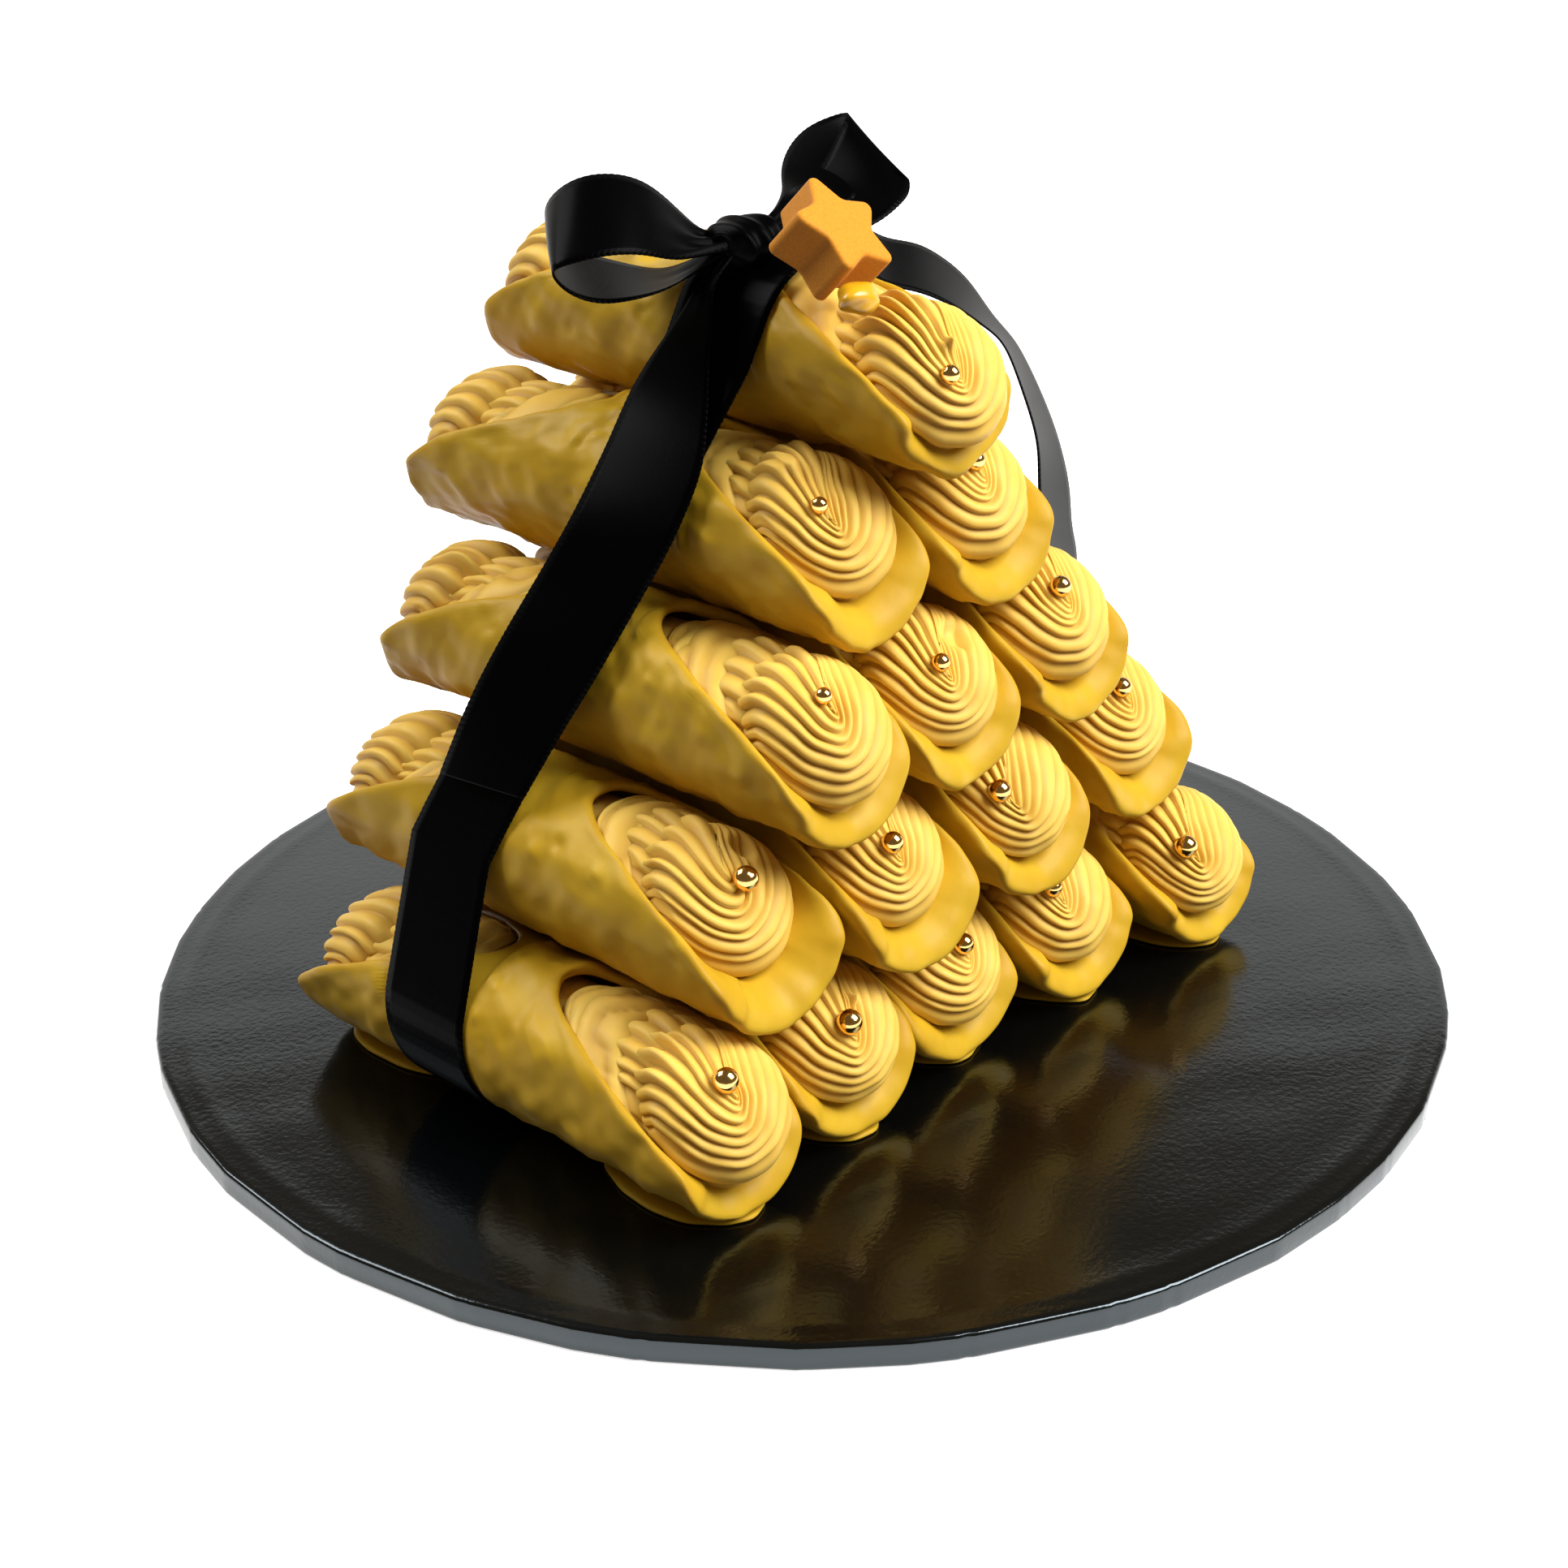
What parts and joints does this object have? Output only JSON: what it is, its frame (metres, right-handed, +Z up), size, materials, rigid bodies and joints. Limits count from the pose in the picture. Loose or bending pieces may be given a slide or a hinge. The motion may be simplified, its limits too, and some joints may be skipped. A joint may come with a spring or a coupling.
{
  "type": "cannoli tower",
  "caption": "Tower of cream-filled fried pastry tubes stacked in tapering rows on a round foil board, topped with a star and tied round with a ribbon and bow.",
  "frame": {"origin": "centre of the round board's underside", "axes": "+Z up; the tubes lie along Y with the shown ends at -Y, and the rows run along X"},
  "size_m": [0.3048, 0.3048, 0.2009],
  "materials": {
    "foil_board": "black embossed foil over card, glossy",
    "coated_shell": "fried pastry under a mustard-yellow coating, satin",
    "caramel_cream": "piped caramel cream, soft sheen",
    "orange_star": "moulded sugar or white chocolate, dusted, matte",
    "yellow_icing": "set yellow icing, glossy",
    "black_satin": "woven satin ribbon"
  },
  "bodies": {
    "root": {"board": "foil_board", "shell_A1": "coated_shell", "shell_A2": "coated_shell", "shell_A3": "coated_shell", "shell_A4": "coated_shell", "shell_B1": "coated_shell", "shell_B2": "coated_shell", "shell_B3": "coated_shell", "shell_B4": "coated_shell", "shell_B5": "coated_shell", "shell_C1": "coated_shell", "shell_C2": "coated_shell", "shell_C3": "coated_shell", "shell_D1": "coated_shell", "shell_D2": "coated_shell", "shell_E1": "coated_shell", "filling_A1": "caramel_cream", "filling_A2": "caramel_cream", "filling_A3": "caramel_cream", "filling_A4": "caramel_cream", "filling_B1": "caramel_cream", "filling_B2": "caramel_cream", "filling_B3": "caramel_cream", "filling_B4": "caramel_cream", "filling_B5": "caramel_cream", "filling_C1": "caramel_cream", "filling_C2": "caramel_cream", "filling_C3": "caramel_cream", "filling_D1": "caramel_cream", "filling_D2": "caramel_cream", "filling_E1": "caramel_cream", "star": "orange_star", "star_dab": "yellow_icing", "ribbon_band": "black_satin", "bow_knot": "black_satin", "bow_loop_left": "black_satin", "bow_loop_right": "black_satin", "ribbon_tail_left": "black_satin", "ribbon_tail_right": "black_satin"}
  },
  "joints": []
}
